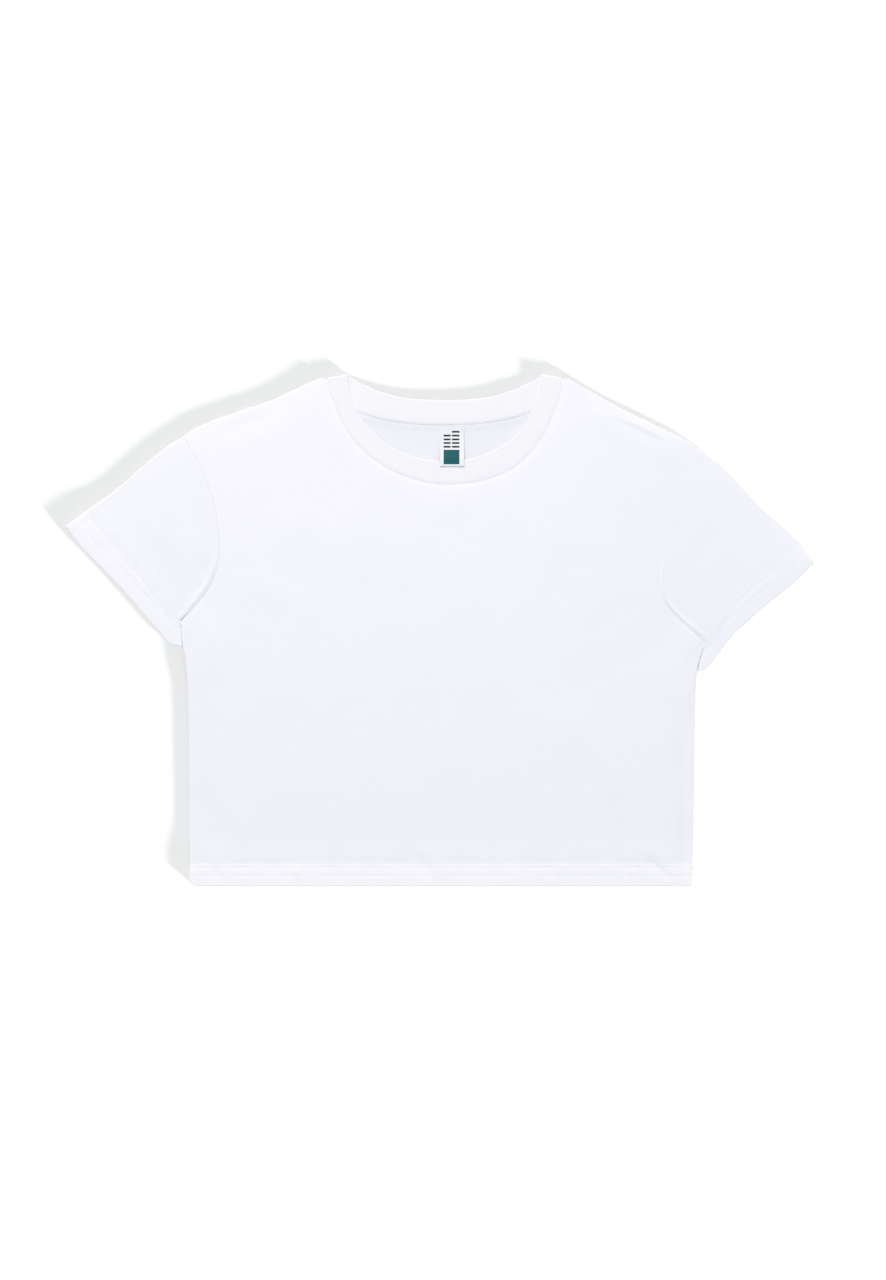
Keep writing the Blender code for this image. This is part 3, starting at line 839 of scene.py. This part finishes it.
def band_route():
    """The way round the ring: front, left shoulder, back, right shoulder and the start again.

    For each column, the neck's turn, the roll over a shoulder's fold (0 on the front and pi on
    the back) and the distance along.
    """
    step = RIB_PITCH / STEPS_PER_RIB
    front_turns, front_length = band_turns(FRONT_SEAM, FRONT_EDGE, step)
    back_turns, back_length = band_turns(BACK_SEAM, BACK_EDGE, step)
    roll = np.pi * np.arange(1, BAND_FOLD) / BAND_FOLD
    over = FOLD_RADIUS * np.pi
    stretches = (
        (front_turns, np.zeros(len(front_turns)), np.linspace(0, front_length, len(front_turns))),
        (np.ones(len(roll)), roll, front_length + over * roll / np.pi),
        (back_turns[::-1], np.full(len(back_turns), np.pi),
         front_length + over + np.linspace(0, back_length, len(back_turns))),
        (np.zeros(len(roll)), roll[::-1], front_length + over + back_length + over * roll / np.pi),
        (np.zeros(1), np.zeros(1), np.array([front_length + 2 * over + back_length])),
    )
    return (np.concatenate(part) for part in zip(*stretches))


def make_neckband():
    """A 1x1 rib folded double, lying flat and folded over at both shoulders."""
    turn, roll, reach = band_route()
    circumference = reach[-1]
    ribs = round(circumference / RIB_PITCH)
    share, bend = band_rows().T

    is_back = (roll == np.pi)[:, None]
    seam = np.where(is_back, neck_point(BACK_SEAM, turn), neck_point(FRONT_SEAM, turn))
    edge = np.where(is_back, neck_point(BACK_EDGE, turn), neck_point(FRONT_EDGE, turn))
    # At a shoulder the seam and edge lines of front and back meet, so the fold has one place.
    width = np.hypot(*(seam - edge).T)[:, None]
    inward = unit(seam - edge)
    across = unit(edge - seam)
    facing = np.stack((-across[:, 1], across[:, 0]), -1) * np.sign(across[:, :1])

    settled = smooth_step(OVERLAP_ENDS, BAND_SETTLES, np.pi * np.minimum(turn, 1 - turn))
    front_mid = FOLDED_BAND_MID + (FRONT_BAND_MID - FOLDED_BAND_MID) * settled
    back_mid = BACK_BAND_MID + BACK_BAND_LIFT * settled
    half = BAND_CLOTH / 2
    rib = np.cos(2 * np.pi * ribs * reach / circumference)
    rib = np.sign(rib) * np.abs(rib) ** 0.7

    def face(skin, relief):
        lip = LIP * np.exp(-((1 - share)[None] * width / LIP_REACH) ** 2)
        reach_out = skin + relief * (rib[:, None] - 1) - lip * (relief > 0)
        reach_out = np.broadcast_to(reach_out, (len(turn), len(share)))
        beyond = half + (width - half) * share[None] - reach_out * np.sin(bend)[None]
        offset = reach_out * np.cos(bend)[None]
        plan = edge[:, None] + inward[:, None] * beyond[..., None]
        height = np.where((roll == 0)[:, None], front_mid[:, None] + offset,
                          back_mid[:, None] - offset)
        folding = ((roll > 0) & (roll < np.pi))[:, None]
        swing = (FOLD_RADIUS + offset) * np.sin(roll)[:, None]
        plan = plan + np.where(folding, swing, 0)[..., None] * facing[:, None]
        lifted = BACK_BAND_MID + FOLD_RADIUS + (FOLD_RADIUS + offset) * np.cos(roll)[:, None]
        return stacked(plan, np.where(folding, lifted, height))
    outer = face(half, RIB_HEIGHT / 2)
    inner = face(BAND_INSIDE, 0.0)
    over_edge = np.where(bend > np.pi / 2, 1, -1) * share
    grain = np.stack(np.broadcast_arrays(reach[:, None], over_edge[None] * FOLDED_WIDTH), -1)
    layers = np.ones(outer.shape[:2])
    return cloth("rib_neckband", outer, inner, grain, layers, closed=True), circumference


# ---------------------------------------------------------------- woven label

LABEL_COLUMNS = 28
LABEL_ROWS = 44


def make_label():
    """A satin strip folded to a loop, its ends in the back neck seam, its fold on the band."""
    run = along(LABEL_RUN, np.linspace(0, 1, LABEL_ROWS + 1))
    mid = run[:, 1] + LABEL_MIDDLE
    last = run[-1, 0] + LABEL_LOOP
    keep = run[:, 0] > last
    y = np.concatenate((run[keep, 0], [last]))
    mid = np.concatenate((mid[keep], mid[-1:]))
    bend = np.pi * np.arange(1, 6) / 6
    across = np.linspace(0, 1, LABEL_COLUMNS + 1)[:, None]
    curl = LABEL_CURL * (2 * across - 1) ** 2 * (run[0, 0] - y)[None] / CURL_REACH

    def face(reach):
        top = stacked_rows(across, y, mid + reach + curl)
        middle = mid[-1] + curl[:, -1:] + reach * np.cos(bend)[None]
        loop = stacked_rows(across, last - reach * np.sin(bend), middle)
        under = stacked_rows(across, y[::-1], (mid - reach + curl)[:, ::-1])
        return np.concatenate((top, loop, under), axis=1)
    outer = face(LABEL_LOOP)
    inner = face(LABEL_LOOP - LABEL_CLOTH)
    down = np.concatenate(([0.0], np.cumsum(np.hypot(*np.diff(outer[0, :, 1:], axis=0).T))))
    grain = np.stack(np.broadcast_arrays(outer[..., 0], down[None]), -1)
    return cloth("woven_label", outer, inner, grain, np.ones(outer.shape[:2]))


def stacked_rows(across, y, z):
    """Label corners from the shares across and the y of each row."""
    x = LABEL_RIGHT + (LABEL_LEFT - LABEL_RIGHT) * across
    x, y, z = np.broadcast_arrays(x, np.asarray(y)[None], z)
    return np.stack((x, y, z), -1)


# ---------------------------------------------------------------- sewing thread

# A stitch, how far its middle stands over the upper face or under the lower one, how far the
# body's rows stop from the side seams, and the shares of a cuff that its rows span.
STITCH_PITCH = 3.0
STITCH_LENGTH = 2.5
STITCH_WIDTH = 0.46
STITCH_HEIGHT = 0.34
STANDS_OVER = 0.05
HANGS_UNDER = 0.02
HEM_ROW_START = 2.5
CUFF_ROW_SPAN = (0.015, 0.96)


def one_stitch():
    """A short thread drawn tight at both ends, lying along X."""
    stitch = bmesh.new()
    lying = Matrix.Diagonal((STITCH_LENGTH / 2, STITCH_WIDTH / 2, STITCH_HEIGHT / 2, 1))
    bmesh.ops.create_uvsphere(stitch, u_segments=6, v_segments=5, radius=MM,
                              matrix=lying @ Matrix.Rotation(math.pi / 2, 4, "Y"))
    mesh = bpy.data.meshes.new("stitch")
    stitch.to_mesh(mesh)
    stitch.free()
    return mesh


def thread_along(seam, stitch, path):
    """Adds stitches to a seam, end to end along a path of its points."""
    runs = np.linalg.norm(np.diff(path, axis=0), axis=1)
    reach = np.concatenate(([0.0], np.cumsum(runs)))
    count = int(reach[-1] / STITCH_PITCH)
    for place in range(count):
        middle = (place + 0.5) * reach[-1] / count
        start, end = (Vector([np.interp(middle + way * STITCH_LENGTH / 2, reach, path[:, axis])
                              for axis in range(3)]) for way in (-1, 1))
        lay = Matrix.Translation((start + end) / 2 * MM)
        lay @= (end - start).to_track_quat("X", "Z").to_matrix().to_4x4()
        stitch.transform(lay)
        seam.from_mesh(stitch)
        stitch.transform(lay.inverted())


def sewn(name, rows, on_sleeve):
    """A piece with all the stitches of some rows, on the upper wall and on the lower one."""
    seam = bmesh.new()
    stitch = one_stitch()
    for places in rows:
        thread_along(seam, stitch, stacked(places, upper_face(places, on_sleeve) + STANDS_OVER))
        thread_along(seam, stitch, stacked(places, lower_face(places, on_sleeve) - HANGS_UNDER))
    piece = finished(name, seam)
    piece.data.shade_smooth()
    return piece


def hem_thread():
    """Two rows of stitches along the body's hem, down in its channels."""
    x = np.linspace(HEM_LINE[0, 0] + HEM_ROW_START, HEM_LINE[1, 0] - HEM_ROW_START, 600)
    y = np.interp(x, HEM_LINE[:, 0], HEM_LINE[:, 1])
    return sewn("hem_thread", [np.stack((x, y + rise), -1) for rise in HEM_STITCH_ROWS], False)


def cuff_thread(name, side):
    """Two rows of stitches round a cuff."""
    cuff = along(side.cuff, np.linspace(*CUFF_ROW_SPAN, 260))
    ahead = unit(np.gradient(cuff, axis=0))
    up = np.stack((ahead[:, 1], -ahead[:, 0]), -1)
    toward = np.array(side.front_armhole[3], float) - cuff
    up *= np.sign((up * toward).sum(-1, keepdims=True))
    return sewn(name, [cuff + up * rise for rise in CUFF_STITCH_ROWS], True)


# ---------------------------------------------------------------- materials

# Real sizes in metres: a knit loop's width, height and depth, and the satin's warp and weft.
WALE = 0.0008
COURSE = 0.0006
LOOP_DEPTH = 0.00008
WARP = 0.00018
WEFT = 0.0003
FULL_TURN = 2 * math.pi

# The setting that picks what these kinds of node do.
CHOICE = {"Math": "operation", "Mix": "data_type", "UVMap": "uv_map",
          "Attribute": "attribute_name", "TexWave": "bands_direction"}
MIXED = 2


def linear(code):
    """A hex sRGB colour as linear RGBA."""
    parts = [int(code[place:place + 2], 16) / 255 for place in (1, 3, 5)]
    return (*((v / 12.92 if v <= 0.04045 else ((v + 0.055) / 1.055) ** 2.4) for v in parts), 1.0)


def add(tree, kind, *by_place, **by_name):
    """Adds a shader node, written as its kind or "kind.choice", and fills in its inputs.

    In a name "_" stands for a space, and "A" and "B" are the colours of a mix. An input given as
    a node is linked to its first output, one given as (node, output) to that output, and any
    other is set as a value.
    """
    kind, _, choice = kind.partition(".")
    node = tree.nodes.new("ShaderNode" + kind)
    if choice:
        setattr(node, CHOICE[kind], choice)
    inputs = dict(enumerate(by_place))
    for name, value in by_name.items():
        inputs[{"A": 6, "B": 7}.get(name, name.replace("_", " "))] = value
    for name, value in inputs.items():
        if isinstance(value, bpy.types.Node):
            value = (value, 0)
        if isinstance(value, tuple) and isinstance(value[0], bpy.types.Node):
            tree.links.new(value[0].outputs[value[1]], node.inputs[name])
        else:
            node.inputs[name].default_value = value
    return node


def new_material(name):
    """A material with no nodes yet, and its tree."""
    material = bpy.data.materials.new(name)
    material.use_nodes = True
    material.node_tree.nodes.clear()
    return material, material.node_tree


def knit(tree, along_row, along_column):
    """Height of plain knit, from about -0.3 to 0.9: columns of V-shaped loops."""
    column = add(tree, "Math.FRACT", add(tree, "Math.DIVIDE", along_row, WALE))
    arm = add(tree, "Math.ABSOLUTE", add(tree, "Math.SUBTRACT", column, 0.5))
    row = add(tree, "Math.DIVIDE", along_column, COURSE)
    slanted = add(tree, "Math.MULTIPLY_ADD", arm, 1.3, row)
    loop = add(tree, "Math.SINE", add(tree, "Math.MULTIPLY", slanted, FULL_TURN))
    crown = add(tree, "Math.SINE", add(tree, "Math.MULTIPLY", arm, FULL_TURN))
    return add(tree, "Math.MULTIPLY_ADD", loop, 0.32, add(tree, "Math.MULTIPLY", crown, 0.55))


def white_cotton(name, pale, deep, doubled_white):
    """Knitted, bleached ring-spun cotton: matt white loops with a faint nap of loose fibre.

    The yarn is a little uneven, so rows differ by a shade, and where another layer lies beneath
    less of the floor shows through, so it is whiter. The layers attribute also holds painted
    shade:
    it is lower on the sleeves and the wearer's left chest.
    """
    material, tree = new_material(name)
    grain = add(tree, "UVMap.grain")
    split = add(tree, "SeparateXYZ", grain)
    # Thick and thin yarn: streaks some 14 mm long and a few courses high.
    streak = add(tree, "Mapping", Vector=grain, Scale=(70, 520, 1))
    slub = add(tree, "TexNoise", Vector=streak, Scale=1.0, Detail=3.0)
    # Cloth that was washed and pressed keeps soft dents, some 20 to 30 mm across.
    soft = add(tree, "TexNoise", Vector=grain, Scale=42.0, Detail=4.0, Roughness=0.55,
               Distortion=0.4)
    # The columns of loops wander a little sideways.
    wander = add(tree, "Math.MULTIPLY", slub, WALE * 0.6)
    loops = knit(tree, add(tree, "Math.ADD", (split, "X"), wander), (split, "Y"))

    shade = add(tree, "Mix.RGBA", slub, A=linear(pale), B=linear(deep))
    # Layers: whitening by a second layer, and painted shade on the sleeves and the wearer's left
    # chest.
    layers = add(tree, "Attribute.layers")
    share = add(tree, "Math.MULTIPLY", (layers, "Fac"), 0.5)
    colour = add(tree, "Mix.RGBA", share, A=(shade, MIXED), B=linear(doubled_white))

    dents = add(tree, "Bump", Strength=0.5, Distance=0.0006, Height=soft)
    uneven = add(tree, "Bump", Strength=0.5, Distance=0.00012, Height=slub, Normal=dents)
    surface = add(tree, "Bump", Strength=0.6, Distance=LOOP_DEPTH, Height=loops, Normal=uneven)
    rough = add(tree, "MapRange", slub, To_Min=0.84, To_Max=0.95)
    shader = add(tree, "BsdfPrincipled", Base_Color=(colour, MIXED), Roughness=rough,
                 Normal=surface, IOR=1.53, Specular_IOR_Level=0.05, Sheen_Weight=0.015,
                 Sheen_Roughness=0.5)
    add(tree, "OutputMaterial", shader)
    return material


def woven_satin():
    """Woven polyester satin: fine bright warp threads, with charcoal dashes and a teal block.

    The dashes and the block are woven in, so they share the satin's thread ridges.
    """
    material, tree = new_material("woven_polyester_satin")
    split = add(tree, "SeparateXYZ", add(tree, "UVMap.grain"))
    across, down = (split, "X"), (split, "Y")

    def between(reach, start, end):
        after = add(tree, "Math.GREATER_THAN", reach, start * MM)
        return add(tree, "Math.MULTIPLY", after,
                   add(tree, "Math.LESS_THAN", reach, end * MM))

    def either(shares):
        total = shares[0]
        for share in shares[1:]:
            total = add(tree, "Math.MAXIMUM", total, share)
        return total
    columns = [between(across, *column) for column in DASH_COLUMNS]
    rows = [between(down, row, row + DASH) for row in DASH_ROWS]
    top = add(tree, "Math.MULTIPLY", columns[1], between(down, TOP_DASH, TOP_DASH + DASH))
    dashes = either([add(tree, "Math.MULTIPLY", either(columns), either(rows)), top])
    width = between(across, DASH_COLUMNS[0][0], DASH_COLUMNS[1][1])
    block = add(tree, "Math.MULTIPLY", width, between(down, *TEAL_BLOCK))
    ground = add(tree, "Mix.RGBA", dashes, A=linear("#E9EDF0"), B=linear("#2C3337"))
    colour = add(tree, "Mix.RGBA", block, A=(ground, MIXED), B=linear("#185B61"))

    warp = add(tree, "Math.SINE", add(tree, "Math.MULTIPLY", across, FULL_TURN / WARP))
    weft = add(tree, "Math.SINE", add(tree, "Math.MULTIPLY", down, FULL_TURN / WEFT))
    surface = add(tree, "Bump", Strength=0.4, Distance=0.00004,
                  Height=add(tree, "Math.MULTIPLY", warp, weft))
    shader = add(tree, "BsdfPrincipled", Base_Color=(colour, MIXED), Roughness=0.5,
                 Normal=surface, IOR=1.57, Specular_IOR_Level=0.16, Anisotropic=0.3)
    add(tree, "OutputMaterial", shader)
    return material


def sewing_thread():
    """Spun polyester thread: twisted, so fine slanting ridges, and slightly glossier."""
    material, tree = new_material("spun_polyester_thread")
    place = add(tree, "TexCoord")
    twist = add(tree, "TexWave.DIAGONAL", Vector=(place, "Object"), Scale=900.0, Distortion=0.5)
    surface = add(tree, "Bump", Strength=0.5, Distance=0.00005, Height=(twist, "Fac"))
    tint = add(tree, "Mix.RGBA", (twist, "Fac"), A=linear("#F1F3F6"), B=linear("#F8F9FB"))
    shader = add(tree, "BsdfPrincipled", Base_Color=(tint, MIXED), Roughness=0.62, IOR=1.55,
                 Normal=surface)
    add(tree, "OutputMaterial", shader)
    return material


def floor_paper():
    """Matt white photographic paper: no gloss and one even tone."""
    material, tree = new_material("matt_white_paper")
    shader = add(tree, "BsdfPrincipled", Base_Color=linear("#E6E6E6"), Roughness=1.0,
                 Specular_IOR_Level=0.0)
    add(tree, "OutputMaterial", shader)
    return material


# ---------------------------------------------------------------- floor, lights and camera

# The floor and the lamps are in metres.
FLOOR_SIZE = 40.0
FLOOR_DROP = 0.0003


def make_floor():
    """A wide pale floor just under the garment."""
    floor = bmesh.new()
    bmesh.ops.create_grid(floor, x_segments=8, y_segments=8, size=FLOOR_SIZE / 2,
                          matrix=Matrix.Translation((0, 0, -FLOOR_DROP)))
    piece = finished("floor", floor)
    piece.data.materials.append(floor_paper())
    return piece


def add_light(name, kind, place, **settings):
    """A lamp at a place, facing the garment's middle."""
    data = bpy.data.lights.new(name, kind)
    for setting, value in settings.items():
        setattr(data, setting, value)
    lamp = bpy.data.objects.new(name, data)
    lamp.location = place
    lamp.rotation_euler = (Vector() - Vector(place)).to_track_quat("-Z", "Y").to_euler()
    bpy.context.scene.collection.objects.link(lamp)
    return lamp


def lights_only(lamp, pieces):
    """Lets a lamp light these pieces and no others."""
    takes = bpy.data.collections.new("takes_" + lamp.name)
    for piece in pieces:
        takes.objects.link(piece)
    lamp.light_linking.receiver_collection = takes


def set_lights(floor, pieces):
    """Soft light on the cloth from above the neck, even fill, and two lamps for the floor.

    The floor's low lamp throws the garment's soft shadow to its upper left. The other shines
    straight down and keeps the floor white.
    """
    world = bpy.data.worlds.new("studio")
    world.use_nodes = True
    sky = world.node_tree.nodes["Background"].inputs
    sky["Color"].default_value = (0.825, 0.908, 1.0, 1)
    sky["Strength"].default_value = 0.68
    bpy.context.scene.world = world
    key = add_light("key", "AREA", (-0.58, 3.28, 2.59), energy=117, shape="SQUARE", size=1.5,
                    color=(1.0, 0.862, 0.74))
    overhead = add_light("overhead", "AREA", (0.4, 0.2, 4.6), energy=19, shape="SQUARE",
                         size=3.0)
    low = math.radians(6.2)
    side = Vector((14.5, -12, 0)).normalized()
    slant = add_light("floor_slant", "SUN", side * math.cos(low) + Vector((0, 0, math.sin(low))),
                      energy=8.2, angle=math.radians(3.4))
    above = add_light("floor_above", "SUN", (0, 0, 1), energy=1.5, angle=math.radians(3.2),
                      color=(1.0, 0.905, 0.79))
    for lamp in (key, overhead):
        lights_only(lamp, pieces)
    for lamp in (slant, above):
        lights_only(lamp, [floor])
    # The light tree would give lamps that light only some pieces no shadow.
    bpy.context.scene.cycles.use_light_tree = False


def set_camera():
    """Straight above, with a long lens."""
    data = bpy.data.cameras.new("camera")
    data.lens = 100
    data.sensor_width = 36
    data.clip_end = 100
    camera = bpy.data.objects.new("camera", data)
    camera.location = (0.003, -0.010, 3.556)
    bpy.context.scene.collection.objects.link(camera)
    bpy.context.scene.camera = camera


# ---------------------------------------------------------------- the garment

# The knit runs along each sleeve, turned this many degrees from the body's.
RIGHT_GRAIN = -41
LEFT_GRAIN = 39


def dress(piece, material, node=None):
    """Gives a piece its material and slot, and sets it on the body in its solid's place."""
    piece.data.materials.append(material)
    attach(piece, "root")
    if node:
        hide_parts(node)


def build_garment():
    """Makes and finishes every piece, and returns them all."""
    jersey = white_cotton("white_cotton_jersey", "#ECEEF4", "#E9EBF2", "#FBFAFD")
    rib = white_cotton("white_cotton_rib", "#F1F1F5", "#EEEFF4", "#F1F1F5")
    thread = sewing_thread()
    front = make_front()
    back = make_back()
    right = make_sleeve("right_sleeve_jersey", RIGHT, RIGHT_GRAIN)
    left = make_sleeve("left_sleeve_jersey", LEFT, LEFT_GRAIN)
    band, circumference = make_neckband()
    label = make_label()
    hems = hem_thread()
    right_cuff = cuff_thread("right_cuff_thread", RIGHT)
    left_cuff = cuff_thread("left_cuff_thread", LEFT)
    dress(front, jersey, "front_panel")
    dress(back, jersey, "back_panel")
    dress(right, jersey, "right_sleeve")
    dress(left, jersey, "left_sleeve")
    dress(band, rib, "neckband")
    dress(label, woven_satin(), "neck_label")
    for stitches in (hems, right_cuff, left_cuff):
        dress(stitches, thread)

    return front, back, right, left, band, label, hems, right_cuff, left_cuff


garment = build_garment()
set_lights(make_floor(), garment)
set_camera()
bpy.context.scene.view_settings.view_transform = "Standard"
